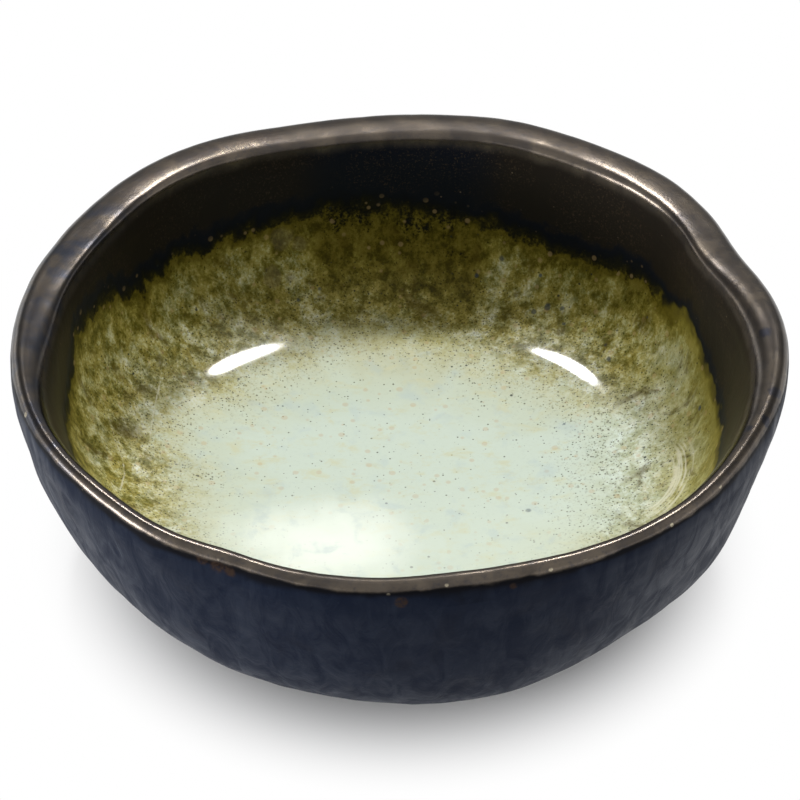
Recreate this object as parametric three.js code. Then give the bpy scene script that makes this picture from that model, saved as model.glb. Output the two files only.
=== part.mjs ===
// A small hand-formed side dish in glazed stoneware.
//
// The clay is a round bowl with a thick lip that was pressed out of round by hand, standing on a foot
// ring that was joined to its underside. Three coats of glaze lie on the clay. The lining glaze covers
// the inside and pools on the floor, the outer glaze covers the outside down to the foot, and the rim
// glaze, which was dipped last, covers the lip between them.
//
// Lengths are in millimetres, and angles in degrees anticlockwise from +X. +Z is up, and the dish
// stands on z = 0 with its front towards -Y.

import * as THREE from "three";
import { ParametricGeometry } from "three/addons/geometries/ParametricGeometry.js";

// The clay bowl. The radius of the lip is the mean one, before the bowl was pressed out of round, and
// the other places on the wall are given by how far they lie in from it.
const lipRadius = 58.7; // outside of the lip, which is its widest place
const lipHeight = 41.2; // top of the lip
const lipInset = 0.8; // the top of the lip lies this far in from its outside
const lipEdge = 1.4; // height over which the outer edge of the lip turns down
const slopeInset = 1.25; // where the lip begins to slope inwards, as measured from its outside
const slopeDown = 0.35; // and from its top
const shoulderInset = 1.7; // where the lip turns down into the bowl
const shoulderDown = 1.1;
const throatInset = 3.9; // inside of the wall where the lip begins
const throatHeight = 35.9;
const wallInset = 1.5; // outside of the wall at mid height
const wallHeight = 28;
const wallThickness = 5.2;
const innerHeight = 25.5; // where the wall's thickness is taken, on the inside
const bellyInset = 4.9; // outside of the wall where it begins to turn under
const bellyHeight = 15.6;
const bellyThickness = 7.2;
const turnHeight = 15.5; // where the inside of the wall turns up from the floor
const heelInset = 11.8; // outside of the bowl where it turns under most
const heelHeight = 8.1;
const floorInset = 26.7; // edge of the nearly level floor
const floorRise = 1.2; // the floor is this much higher at its edge than at the middle
const floorMiddle = 8.4; // height of the floor at the middle
const baseRadius = 33; // edge of the flat underside
const baseHeight = 3; // height of the underside, and so of the foot ring under it

// The foot ring
const footRadius = 29; // outside of the ring where it stands
const footWidth = 5.2;
const footFlare = 1.4; // the ring is this much wider outside where it joins the underside
const footBevel = 0.7; // both edges that stand on the table are wiped off at a slant
const footSeam = 0.3; // between the ring and the underside

// The coats of glaze
const outerCoat = 0.5;
const rimCoat = 0.5;
const liningCoat = 0.6; // on the wall
const liningPool = 1.4; // at the middle of the floor, where the glaze ran together
const bondGap = 0.3; // between the clay and each coat
const coatSeam = 0.3; // between the edges of two coats
const rimLap = 3; // how far below its top the rim glaze reaches on the outside
const bareClay = 1.2; // width of the bare clay between the outer glaze and the flat underside

// Where the lip was pressed flat, these places on it lie this much further in.
const lipSpread = 0.4;
const slopeSpread = 2.45;
const shoulderSpread = 3.4;
const throatSpread = 2.05;

// How far the lip was pressed out (+) or in (-), up (+) or down (-), and flat (from 0 to 1), as
// [angle, out, up, flat].
const lipPresses = [
  [0, 0.5, 0.2, 0.8],
  [9, -0.3, 0.2, 0.9],
  [21, -1.8, -0.3, 1],
  [30, -0.3, -0.2, 1],
  [38, 0.4, 0, 1],
  [58, 0.3, 0.1, 1],
  [73, 0.3, 0.3, 1],
  [90, -0.7, 0, 1],
  [106, -1, 0, 1],
  [126, 0.9, 0.2, 0.95],
  [138, 1, 0.1, 1],
  [152, 0.2, 0, 1.05],
  [167, 0.3, 0, 1],
  [180, 0.3, 0, 0.9],
  [197, 0.3, 0, 0.15],
  [209, 0.3, 0, 0],
  [221, -0.2, -0.1, 0],
  [238, 0.2, -0.2, 0],
  [245, -0.6, 0, 0],
  [252, 0.3, 0, 0],
  [270, 0.2, 0, 0],
  [281, -0.4, 0.2, 0],
  [300, 0.5, 0, 0],
  [315, 0.9, 0, 0],
  [331, 0.3, 0, 0.1],
  [343, 0.5, 0, 0.4],
];

// How far the belly and the heel were pressed out or in, as [angle, belly out, heel out].
const wallPresses = [
  [0, -1.5, 0],
  [45, 0.3, 0],
  [90, -0.3, 0.4],
  [135, 0.5, 0],
  [172, 0.5, 0],
  [187, 1, 0.2],
  [205, -1.1, -1.5],
  [220, -1.3, -1.9],
  [237, -0.6, -1.1],
  [254, -0.4, -0.8],
  [275, 0.2, 0.2],
  [292, 0, 0],
  [305, -1.2, -2],
  [319, -1.2, -1],
  [332, -0.2, 0.2],
  [346, -1.6, 0.2],
];

// How far below the top of the lip the rim glaze ran down the inside, as [angle, run].
const rimRuns = [
  [5, 17.6],
  [15, 16],
  [23, 13.5],
  [31, 14.6],
  [43, 14.5],
  [54, 16.5],
  [62, 16.5],
  [72, 15.3],
  [90, 13.3],
  [103, 12.3],
  [118, 14],
  [137, 13.4],
  [144, 13.8],
  [152, 10.3],
  [163, 8.4],
  [171, 9.8],
  [182, 13.9],
  [205, 13],
  [270, 12.5],
  [320, 13],
  [350, 17.3],
];

// Facets of the curved surfaces
const facetsRound = 60;
const liningRows = 11;
const rimRows = 13;
const outerRows = 9;
const baseRows = 3;
const halvings = 24; // steps in the search for a place on the section

const fullTurn = 360;

// A smooth curve through a list of [angle, value, ...], closed over a full turn.
function roundTheBowl(stations) {
  const [first] = stations;
  const closed = [...stations, [first[0] + fullTurn, ...first.slice(1)]];
  const angles = closed.map((station) => station[0]);
  const values = closed.flatMap((station) => station.slice(1));
  const curve = new THREE.CubicInterpolant(angles, values, first.length - 1);
  curve.settings = { endingStart: THREE.WrapAroundEnding, endingEnd: THREE.WrapAroundEnding };
  return (angle) => Array.from(curve.evaluate(angle));
}

const lipPress = roundTheBowl(lipPresses);
const wallPress = roundTheBowl(wallPresses);
const rimRun = roundTheBowl(rimRuns);

// Where some of the section's points come in its list below, counted from 0
const atTurn = 2;
const atThroat = 4;
const atLipOutside = 8;
const atBelly = 10;
const atBase = 12;

// The section of the clay at an angle, with x as the radius. It runs from the middle of the floor up
// the inside, over the lip and down the outside to the edge of the underside.
function claySection(angle) {
  const [lipOut, lipUp, lipFlat] = lipPress(angle);
  const [bellyOut, heelOut] = wallPress(angle);
  const lip = lipRadius + lipOut;
  const top = lipHeight + lipUp;
  const wall = lipRadius - wallInset + (lipOut + bellyOut) / 2;
  const belly = lipRadius - bellyInset;
  const points = [
    [0, floorMiddle],
    [lipRadius - floorInset, floorMiddle + floorRise],
    [belly - bellyThickness + heelOut / 2, turnHeight],
    [wall - wallThickness, innerHeight],
    [lip - throatInset - throatSpread * lipFlat, throatHeight + lipUp],
    [lip - shoulderInset - shoulderSpread * lipFlat, top - shoulderDown],
    [lip - slopeInset - slopeSpread * lipFlat, top - slopeDown],
    [lip - lipInset - lipSpread * lipFlat, top],
    [lip, top - lipEdge],
    [wall, wallHeight],
    [belly + bellyOut, bellyHeight],
    [lipRadius - heelInset + heelOut, heelHeight],
    [baseRadius, baseHeight],
  ].map(([radius, height]) => new THREE.Vector3(radius, 0, height));
  return new THREE.CatmullRomCurve3(points, false, "centripetal");
}

// The place between two others where the section first passes a test. Places count its points from 0.
function findPlace(section, from, to, passes) {
  let before = from;
  let after = to;
  for (let step = 0; step < halvings; step += 1) {
    const middle = (before + after) / 2;
    if (passes(section.getPoint(middle / atBase))) {
      after = middle;
    } else {
      before = middle;
    }
  }
  return after;
}

// Where the coats of glaze end on the section at an angle, each kept back from its edge by a gap.
function coatEdges(section, angle, gap) {
  const top = lipHeight + lipPress(angle)[1];
  const line = top - rimRun(angle)[0];
  const lap = top - rimLap;
  const inside = (height) => findPlace(section, atTurn, atThroat + 1, (point) => point.z > height);
  const outside = (height) => findPlace(section, atLipOutside, atBelly, (point) => point.z < height);
  return {
    liningTop: inside(line - gap),
    rimInside: inside(line + gap),
    rimOutside: outside(lap + gap),
    outerTop: outside(lap - gap),
    outerEnd: findPlace(section, atBelly, atBase, (point) => point.x < baseRadius + bareClay),
  };
}

// Points along the section between two places, lifted off the clay. The last one is left out.
function pointsAlong(section, from, to, rows, lift) {
  return Array.from({ length: rows }, (_, row) => pointAt(section, from, to, row / rows, lift));
}

// One point of the section, some share of the way between two places, lifted off the clay.
function pointAt(section, from, to, share, lift) {
  const along = THREE.MathUtils.lerp(from, to, share) / atBase;
  const point = section.getPoint(along);
  const way = section.getTangent(along);
  point.x = share === 0 && from === 0 ? 0 : point.x - way.z * lift(share);
  point.z += way.x * lift(share);
  return point;
}

// The outline of the clay at an angle, with a row of points at each edge of a coat.
function clayOutline(angle) {
  const section = claySection(angle);
  const { liningTop, rimOutside, outerEnd } = coatEdges(section, angle, 0);
  const bare = () => 0;
  const underside = Array.from({ length: baseRows + 1 }, (_, row) => {
    return new THREE.Vector3(baseRadius * (1 - row / baseRows), 0, baseHeight);
  });
  return [
    ...pointsAlong(section, 0, liningTop, liningRows, bare),
    ...pointsAlong(section, liningTop, rimOutside, rimRows, bare),
    ...pointsAlong(section, rimOutside, outerEnd, outerRows, bare),
    ...pointsAlong(section, outerEnd, atBase, 1, bare),
    ...underside,
  ];
}

// The outline of a coat between two places: along its face, then back along the side on the clay.
function coatOutline(section, from, to, rows, thickness) {
  const face = (share) => bondGap + thickness(share);
  const bond = () => bondGap;
  const outline = [
    ...pointsAlong(section, from, to, rows, face),
    pointAt(section, from, to, 1, face),
    pointAt(section, from, to, 1, bond),
  ];
  for (let row = rows - 1; row >= 0; row -= 1) {
    outline.push(pointAt(section, from, to, row / rows, bond));
  }
  return outline;
}

function liningOutline(angle) {
  const section = claySection(angle);
  const { liningTop } = coatEdges(section, angle, coatSeam / 2);
  const thickness = (share) => THREE.MathUtils.lerp(liningPool, liningCoat, share);
  return coatOutline(section, 0, liningTop, liningRows, thickness);
}

function rimOutline(angle) {
  const section = claySection(angle);
  const { rimInside, rimOutside } = coatEdges(section, angle, coatSeam / 2);
  const outline = coatOutline(section, rimInside, rimOutside, rimRows, () => rimCoat);
  return [...outline, outline[0]];
}

function outerOutline(angle) {
  const section = claySection(angle);
  const { outerTop, outerEnd } = coatEdges(section, angle, coatSeam / 2);
  const outline = coatOutline(section, outerTop, outerEnd, outerRows, () => outerCoat);
  return [...outline, outline[0]];
}

// A named solid made by carrying an outline, which may change with the angle, round the Z axis.
function roundPiece(name, outlineAt, finish) {
  const rows = outlineAt(0).length - 1;
  const surface = (u, v, target) => {
    const angle = THREE.MathUtils.euclideanModulo(-u, 1) * fullTurn;
    const outline = outlineAt(angle);
    const row = Math.min(Math.floor(v * rows), rows - 1);
    target.lerpVectors(outline[row], outline[row + 1], v * rows - row);
    const turn = THREE.MathUtils.degToRad(angle);
    target.set(target.x * Math.cos(turn), target.x * Math.sin(turn), target.z);
  };
  const mesh = new THREE.Mesh(new ParametricGeometry(surface, facetsRound, rows), finish);
  mesh.name = name;
  return mesh;
}

function footRing() {
  const inside = footRadius - footWidth;
  const top = baseHeight - footSeam;
  const outline = [
    [inside + footBevel, 0],
    [footRadius - footBevel, 0],
    [footRadius, footBevel],
    [footRadius + footFlare, top],
    [inside, top],
    [inside, footBevel],
    [inside + footBevel, 0],
  ].map(([radius, height]) => new THREE.Vector2(radius, height));
  const mesh = new THREE.Mesh(new THREE.LatheGeometry(outline, facetsRound), clay);
  mesh.name = "foot_ring";
  mesh.rotation.x = Math.PI / 2;
  return mesh;
}

const clay = new THREE.MeshStandardMaterial({ color: 0x4a3a30, roughness: 0.85, metalness: 0 });
const slipGlaze = new THREE.MeshStandardMaterial({ color: 0x282d3b, roughness: 0.45, metalness: 0 });
const ironGlaze = new THREE.MeshStandardMaterial({ color: 0x62554a, roughness: 0.3, metalness: 0.4 });
const ashGlaze = new THREE.MeshStandardMaterial({ color: 0xc4d2b8, roughness: 0.08, metalness: 0 });

const dish = new THREE.Group();
dish.add(
  roundPiece("clay_body", clayOutline, clay),
  footRing(),
  roundPiece("inner_glaze", liningOutline, ashGlaze),
  roundPiece("rim_glaze", rimOutline, ironGlaze),
  roundPiece("outer_glaze", outerOutline, slipGlaze),
);

export default dish;
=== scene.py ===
# %% [markdown]
# # A small glazed stoneware dish
#
# The dish is one fired bowl of clay with a foot ring, under three coats of glaze: a pale green
# lining, a blue-black coat outside, and a bronze-brown coat over the lip that ran a little way down
# the inside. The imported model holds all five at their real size, in metres, and it never changes.
# This script dresses it. It copies each piece, makes the coats smooth and slightly uneven as wet
# glaze on hand-pressed clay is, rounds the edges of the clay, and paints all with materials made of
# nodes.

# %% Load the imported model
import math

import bpy
import numpy as np
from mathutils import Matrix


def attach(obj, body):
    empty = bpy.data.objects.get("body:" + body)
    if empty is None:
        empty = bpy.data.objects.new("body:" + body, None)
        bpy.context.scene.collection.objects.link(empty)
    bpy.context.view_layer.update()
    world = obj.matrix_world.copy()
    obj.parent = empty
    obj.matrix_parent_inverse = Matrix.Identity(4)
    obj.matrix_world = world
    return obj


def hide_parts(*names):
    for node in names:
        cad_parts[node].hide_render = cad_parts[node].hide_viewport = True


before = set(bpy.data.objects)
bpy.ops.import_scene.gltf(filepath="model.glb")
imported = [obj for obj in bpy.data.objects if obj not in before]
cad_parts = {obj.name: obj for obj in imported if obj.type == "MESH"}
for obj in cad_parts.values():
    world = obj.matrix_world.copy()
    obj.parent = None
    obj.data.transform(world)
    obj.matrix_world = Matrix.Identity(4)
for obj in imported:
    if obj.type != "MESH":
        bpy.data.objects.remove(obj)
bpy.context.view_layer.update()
clay_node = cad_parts["clay_body"]

# %% [markdown]
# ## The camera
#
# The photograph looks down into the bowl at 38 degrees from close by, so near parts look larger than
# far ones. A camera half a metre away with a long lens gives the same outline. The dish sits above
# the middle of the picture. A shifted lens could do that, but a camera turned down a little further
# does it too and is simpler.

# %% Place the camera
VIEW_DOWN = math.radians(38)
VIEW_DISTANCE = 0.48
LIP_LEVEL = 0.0405
LENS = 140.4
SENSOR = 36
BELOW_LIP = math.radians(1.267)
TO_THE_RIGHT = 0.00015

camera_data = bpy.data.cameras.new("camera")
camera_data.lens = LENS
camera_data.sensor_width = SENSOR
camera = bpy.data.objects.new("camera", camera_data)
camera.location = (
    TO_THE_RIGHT,
    -VIEW_DISTANCE * math.cos(VIEW_DOWN),
    LIP_LEVEL + VIEW_DISTANCE * math.sin(VIEW_DOWN),
)
camera.rotation_euler = (math.pi / 2 - VIEW_DOWN - BELOW_LIP, 0, 0)
bpy.context.scene.collection.objects.link(camera)
bpy.context.scene.camera = camera
bpy.context.scene.view_settings.view_transform = "Standard"
print("camera at", tuple(round(part, 4) for part in camera.location))

# %% [markdown]
# ## Helpers for nodes
#
# A material is a tree of nodes. It could be clicked together in the shader editor. These helpers add
# a node, set its options and link what feeds it in one line instead, so that the trees below read
# from top to bottom like a recipe.


# %% Helpers that add nodes
def add(tree, kind, sockets=None, **settings):
    """Adds a node. A socket is given as a value, or as the output that feeds it."""
    made = tree.nodes.new("ShaderNode" + kind)
    for name, value in settings.items():
        setattr(made, name, value)
    for name, value in (sockets or {}).items():
        if isinstance(value, bpy.types.NodeSocket):
            tree.links.new(value, made.inputs[name])
        else:
            made.inputs[name].default_value = value
    return made


def new_group(name, inputs, outputs):
    """An empty node group with its sockets, and the nodes that stand for them inside it."""
    tree = bpy.data.node_groups.new(name, "ShaderNodeTree")
    for title, kind, value in inputs:
        socket = tree.interface.new_socket(title, in_out="INPUT", socket_type="NodeSocket" + kind)
        if value is not None:
            socket.default_value = value
    for title, kind in outputs:
        tree.interface.new_socket(title, in_out="OUTPUT", socket_type="NodeSocket" + kind)
    return tree, tree.nodes.new("NodeGroupInput").outputs, tree.nodes.new("NodeGroupOutput").inputs


def use_group(tree, group, sockets=None):
    """Places a node group in a tree and returns its outputs."""
    return add(tree, "Group", sockets, node_tree=group).outputs


# %% Helpers that reckon with numbers
def sums(tree, operation, first, second=0.0, third=0.0):
    """One step of arithmetic."""
    return add(tree, "Math", {0: first, 1: second, 2: third}, operation=operation).outputs[0]


def product(tree, *parts):
    """All the parts multiplied together."""
    whole = parts[0]
    for part in parts[1:]:
        whole = sums(tree, "MULTIPLY", whole, part)
    return whole


def fade(tree, value, start, end, low=0.0, high=1.0):
    """Goes smoothly from low to high while a value goes from start to end."""
    sockets = {0: value, 1: start, 2: end, 3: low, 4: high}
    return add(tree, "MapRange", sockets, interpolation_type="SMOOTHSTEP").outputs[0]


def noise(tree, place, scale, detail=2.0, roughness=0.5, distortion=0.0):
    """Cloudy noise around 0.5."""
    sockets = {"Vector": place, "Scale": scale, "Detail": detail, "Roughness": roughness}
    sockets["Distortion"] = distortion
    return add(tree, "TexNoise", sockets).outputs[0]


def sway(tree, value, cloud, reach):
    """Moves a value up and down by a cloudy noise, over a reach from lowest to highest."""
    return sums(tree, "MULTIPLY_ADD", sums(tree, "SUBTRACT", cloud, 0.5), reach, value)


def split(tree, vector):
    """The three parts of a vector."""
    return add(tree, "SeparateXYZ", {0: vector}).outputs


def measure(tree, operation, first, second=(0.0, 0.0, 0.0)):
    """One step of arithmetic with vectors that ends in a number."""
    return add(tree, "VectorMath", {0: first, 1: second}, operation=operation).outputs["Value"]


def from_middle(tree, parts):
    """How far a point lies from the upright line through the middle of the dish."""
    squares = [sums(tree, "POWER", part, 2.0) for part in parts[:2]]
    return sums(tree, "SQRT", sums(tree, "ADD", squares[0], squares[1]))


# %% Helpers that mix colours
def blend(tree, share, first, second):
    """Mixes two colours."""
    return add(tree, "Mix", {0: share, 6: first, 7: second}, data_type="RGBA").outputs[2]


def lay(tree, under, mask, strength, over):
    """Lays a colour over another where a mask says so, at a strength."""
    return blend(tree, product(tree, mask, strength), under, over)


def screen_colour(red, green, blue):
    """A colour as a picture writes it, from 0 to 255, in the units that shaders use."""
    parts = (red / 255, green / 255, blue / 255)
    return tuple(((p + 0.055) / 1.055) ** 2.4 if p > 0.04 else p / 12.92 for p in parts) + (1.0,)


# %% [markdown]
# ## Where a point is on the dish
#
# Glaze patterns follow the wall: streaks run down it, and the colour changes with the distance below the
# line where the brown coat stopped. So the first group turns a point's place into the words that a potter
# would use: how high it is, how far below the line, which way round the dish, and whether the surface faces
# out or up. Below the wall that distance goes on over the floor to the middle. An unwrapped surface could
# say the same, but these words fit every piece without any unwrapping. The line is drawn as heights in
# millimetres over the angle in degrees. A float curve holds it, and the 0 to 1 of that curve stand for 20 to
# 40 mm.

# %% Group: place on the dish
MILLIMETRES = 1000.0
WALL_RADIUS = 50.0
WALL_TURN = 10.0
FLOOR_SHARE = 0.9
STREAK_PITCH = 0.006
LINE_FLOOR = 20.0
LINE_RANGE = 20.0
GLAZE_LINE = [
    (0, 23.8), (5, 23.7), (15, 25.0), (23, 27.5), (31, 26.4), (43, 26.7), (54, 24.7), (62, 24.8), (72, 26.2),
    (90, 27.9), (103, 28.9), (118, 27.4), (137, 28.0), (144, 27.5), (152, 30.9), (163, 32.8), (171, 31.4),
    (182, 27.3), (205, 28.2), (270, 28.7), (320, 28.2), (350, 23.9), (360, 23.8),
]

dish_place, _, ends = new_group(
    "Place on the dish",
    [],
    [
        ("Place", "Vector"),
        ("Height", "Float"),
        ("Down", "Float"),
        ("Streaks", "Vector"),
        ("Outside", "Float"),
        ("Up", "Float"),
    ],
)
tree = dish_place
coordinates = add(tree, "TexCoord").outputs
scaled = add(tree, "VectorMath", {0: coordinates["Object"], 3: MILLIMETRES}, operation="SCALE")
place = scaled.outputs[0]
parts = split(tree, place)
turn = sums(tree, "ARCTAN2", parts[1], parts[0])
share_round = sums(tree, "FRACT", sums(tree, "ADD", sums(tree, "DIVIDE", turn, math.tau), 1.0))
line = add(tree, "FloatCurve", {1: share_round})
line_curve = line.mapping.curves[0]
line_curve.points[0].location = (0, (GLAZE_LINE[0][1] - LINE_FLOOR) / LINE_RANGE)
line_curve.points[1].location = (1, (GLAZE_LINE[-1][1] - LINE_FLOOR) / LINE_RANGE)
for angle, height in GLAZE_LINE[1:-1]:
    line_curve.points.new(angle / 360, (height - LINE_FLOOR) / LINE_RANGE)
line.mapping.update()
line_height = sums(tree, "MULTIPLY_ADD", line.outputs[0], LINE_RANGE, LINE_FLOOR)
inward = sums(tree, "SUBTRACT", WALL_RADIUS, from_middle(tree, parts))
inward = sums(tree, "SMOOTH_MAX", inward, 0.0, WALL_TURN)
down = sums(tree, "MULTIPLY_ADD", inward, FLOOR_SHARE, sums(tree, "SUBTRACT", line_height, parts[2]))
cosine = sums(tree, "COSINE", turn)
sine = sums(tree, "SINE", turn)
sockets = {0: cosine, 1: sine, 2: product(tree, down, STREAK_PITCH)}
streaks = add(tree, "CombineXYZ", sockets).outputs[0]
facing = split(tree, coordinates["Normal"])
outward = sums(tree, "ADD", product(tree, facing[0], cosine), product(tree, facing[1], sine))
for title, value in (
    ("Place", place),
    ("Height", parts[2]),
    ("Down", down),
    ("Streaks", streaks),
    ("Outside", outward),
    ("Up", facing[2]),
):
    tree.links.new(value, ends[title])
print("glaze line drawn with", len(line_curve.points), "points")

# %% [markdown]
# ## Specks
#
# Iron in the clay burns through the glaze as round specks. A Voronoi texture cuts space into cells,
# and each cell may hold one speck: a random share of the cells is used, each with a size of its own.
# Specks could be painted one by one, but there are thousands, so only the largest marks are listed, and the
# last two helpers place them.

# %% Group: specks
SMALLEST_SPECK = 0.3
SPECK_EDGE = 0.35
specks, given, ends = new_group(
    "Specks",
    [("Place", "Vector", None), ("Spacing", "Float", 1.0), ("Size", "Float", 0.3), ("Share", "Float", 0.5)],
    [("Mask", "Float")],
)
tree = specks
fineness = sums(tree, "DIVIDE", 1.0, given["Spacing"])
cells = add(tree, "TexVoronoi", {"Vector": given["Place"], "Scale": fineness}).outputs
chance = split(tree, cells["Color"])
present = sums(tree, "LESS_THAN", chance[0], given["Share"])
reach = sums(tree, "MULTIPLY_ADD", chance[1], 1.0 - SMALLEST_SPECK, SMALLEST_SPECK)
edge = sums(tree, "SUBTRACT", product(tree, given["Size"], reach), cells["Distance"])
mask = fade(tree, sums(tree, "DIVIDE", edge, given["Size"]), 0.0, SPECK_EDGE)
tree.links.new(product(tree, mask, present), ends["Mask"])
print("group ready:", specks.name, len(tree.nodes), "nodes")


# %% Masks of specks, single marks and threads
MARK_RAGGED = 1.6
MARK_CORE = 0.55
THREAD_RAGGED = 2.5
THREAD_CORE = 0.3


def speckle(tree, place, spacing, size, share):
    """A mask of specks. The spacing is in millimetres, and the largest radius is a share of it."""
    sockets = {"Place": place, "Spacing": spacing, "Size": size, "Share": share}
    return use_group(tree, specks, sockets)["Mask"]


def marks(tree, place, ragged, spots):
    """A mask of single ragged spots, each given by its x, y and z and its radius in millimetres."""
    whole = 0.0
    for x, y, z, size in spots:
        off = measure(tree, "DISTANCE", place, (x, y, z))
        off = sway(tree, off, ragged, size * MARK_RAGGED)
        whole = sums(tree, "MAXIMUM", fade(tree, off, size, size * MARK_CORE), whole)
    return whole


def thread(tree, place, ragged, points, width):
    """A mask of a thin ragged line through some points."""
    whole = 0.0
    for start, end in zip(points, points[1:]):
        along = tuple(b - a for a, b in zip(start, end))
        leaning = add(tree, "VectorMath", {0: place, 1: start}, operation="SUBTRACT").outputs[0]
        reached = measure(tree, "DOT_PRODUCT", leaning, along)
        share = sums(tree, "DIVIDE", reached, math.dist(start, end) ** 2)
        share = add(tree, "Clamp", {0: share}).outputs[0]
        foot = add(tree, "VectorMath", {0: along, 3: share}, operation="SCALE").outputs[0]
        off = measure(tree, "DISTANCE", leaning, foot)
        off = sway(tree, off, ragged, width * THREAD_RAGGED)
        whole = sums(tree, "MAXIMUM", fade(tree, off, width, width * THREAD_CORE), whole)
    return whole


# %% [markdown]
# ## Where the brown coat melted into the lining
#
# In the kiln the iron of the brown coat ran down into the pale lining. It is blue-black at the line,
# it stains the wall below olive in clouds and tongues, and the lining stays pale green on the floor.
# The lining and the rim coat meet at that line, so both use this one group, and no seam shows. It
# could be a painted picture, but nodes stay sharp at any size and need no unwrapping.

# %% Group: melted glaze, how far it ran
melted, _, ends = new_group(
    "Melted glaze",
    [],
    [("Colour", "Color"), ("Roughness", "Float"), ("Bumps", "Float"), ("Glass", "Float")],
)
SHALLOW_TONGUES = 1.5
DEEP_TONGUES = 8.0
tree = melted
spot = use_group(tree, dish_place)
place = spot["Place"]
down = spot["Down"]
ways = split(tree, spot["Streaks"])
broad = noise(tree, spot["Streaks"], 6.0, 2.0, 0.5, 0.3)
tongues = noise(tree, spot["Streaks"], 14.0, 2.0, 0.5, 0.4)
lumps = noise(tree, place, 0.42, 1.5, 0.5, 0.3)
shifted = sway(tree, down, broad, 4.0)
shifted = sway(tree, shifted, tongues, fade(tree, ways[0], -0.2, -0.75, SHALLOW_TONGUES, DEEP_TONGUES))
shifted = sway(tree, shifted, lumps, 4.0)
iron = fade(tree, shifted, 2.0, -2.0)
wall = fade(tree, down, 40.0, 24.0)
middle_back = fade(tree, ways[1], 0.93, 0.985)
right = fade(tree, ways[0], 0.78, 0.98)
print("tongues from", SHALLOW_TONGUES, "to", DEEP_TONGUES, "mm long")

# %% [markdown]
# The stain is thickest at the middle of the back. Everywhere else the colour is looked up as if the
# point lay further down, and furthest at the right. Clouds of four sizes, from broad patches to fine
# grains, then move it up and down.

# %% Group: melted glaze, its clouds
LIGHTER = 15.0
LIGHTER_AT_RIGHT = 5.0
start = product(tree, right, fade(tree, shifted, -1.0, 2.5))
start = sums(tree, "MAXIMUM", start, fade(tree, shifted, 2.0, 5.0))
held = fade(tree, down, 24.0, 7.0, 0.3, 1.0)
held = sums(tree, "MAXIMUM", product(tree, right, 0.8), held)
lighter = fade(tree, middle_back, 0.0, 1.0, LIGHTER, 0.0)
lighter = sums(tree, "MULTIPLY_ADD", right, LIGHTER_AT_RIGHT, lighter)
lighter = product(tree, lighter, start, held)
fall_place = add(tree, "Mapping", {"Vector": place, "Scale": (1.0, 1.0, 0.55)}).outputs[0]
patches = noise(tree, place, 0.12, 3.0, 0.5, 0.4)
clouds = noise(tree, fall_place, 0.3, 3.0, 0.55, 0.5)
small_clouds = noise(tree, fall_place, 0.85, 3.0, 0.6, 0.4)
grains = noise(tree, place, 2.2, 2.0, 0.6)
cloudy = 0.0
for cloud, cloud_reach in ((patches, 12.0), (clouds, 22.0), (small_clouds, 16.0), (grains, 18.0)):
    cloudy = sway(tree, cloudy, cloud, cloud_reach)
cloudy = product(tree, cloudy, wall, fade(tree, shifted, 0.0, 6.0, 0.1, 1.0))
cloudy = product(tree, cloudy, fade(tree, right, 0.0, 1.0, 1.0, 0.55))
reached = sums(tree, "ADD", sums(tree, "ADD", shifted, lighter), cloudy)
print("melted glaze so far:", len(tree.nodes), "nodes")

# %% [markdown]
# The colours go from the blue-black line over olive to pale green. Each stands at a share of fifty
# millimetres below the line, and fine mottles then make the olive wall darker and brighter.

# %% Group: melted glaze, its colours
RAMP_LENGTH = 50.0
LINING_COLOURS = [
    (0.0, (10, 11, 11)),
    (0.03, (27, 26, 9)),
    (0.055, (50, 45, 13)),
    (0.085, (80, 72, 18)),
    (0.12, (98, 88, 27)),
    (0.26, (103, 93, 33)),
    (0.35, (117, 108, 42)),
    (0.41, (133, 123, 56)),
    (0.47, (143, 134, 68)),
    (0.53, (160, 155, 97)),
    (0.6, (173, 170, 124)),
    (0.7, (185, 188, 157)),
    (0.82, (191, 200, 178)),
    (1.0, (195, 207, 192)),
]
ramp = add(tree, "ValToRGB", {0: sums(tree, "DIVIDE", reached, RAMP_LENGTH)})
stops = ramp.color_ramp.elements
stops[0].position = LINING_COLOURS[0][0]
stops[0].color = screen_colour(*LINING_COLOURS[0][1])
stops[1].position = LINING_COLOURS[-1][0]
stops[1].color = screen_colour(*LINING_COLOURS[-1][1])
for position, colour in LINING_COLOURS[1:-1]:
    stops.new(position).color = screen_colour(*colour)
mottle_place = add(tree, "Mapping", {"Vector": place, "Scale": (1.0, 1.0, 0.8)}).outputs[0]
mottles = noise(tree, mottle_place, 0.42, 5.0, 0.76, 0.2)
mottled = product(tree, fade(tree, down, 32.0, 21.0), fade(tree, shifted, 0.0, 5.0))
mottled = product(tree, mottled, fade(tree, right, 0.0, 1.0, 1.0, 0.5))
strength = fade(tree, mottles, 0.34, 0.66, -0.62, 0.55)
strength = sums(tree, "MULTIPLY_ADD", strength, mottled, 1.0)
blue_strength = sums(tree, "POWER", strength, 1.6)
strengths = add(tree, "CombineXYZ", {0: strength, 1: strength, 2: blue_strength}).outputs[0]
lining = add(tree, "VectorMath", {0: ramp.outputs[0], 1: strengths}, operation="MULTIPLY").outputs[0]
print("lining colours", len(stops))

# %% [markdown]
# Iron specks lie all over the lining. They crowd where the wall turns into the floor, most of all at
# the back. The floor has pale clouds and ochre freckles too. Each layer is one mask and one colour.

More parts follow.
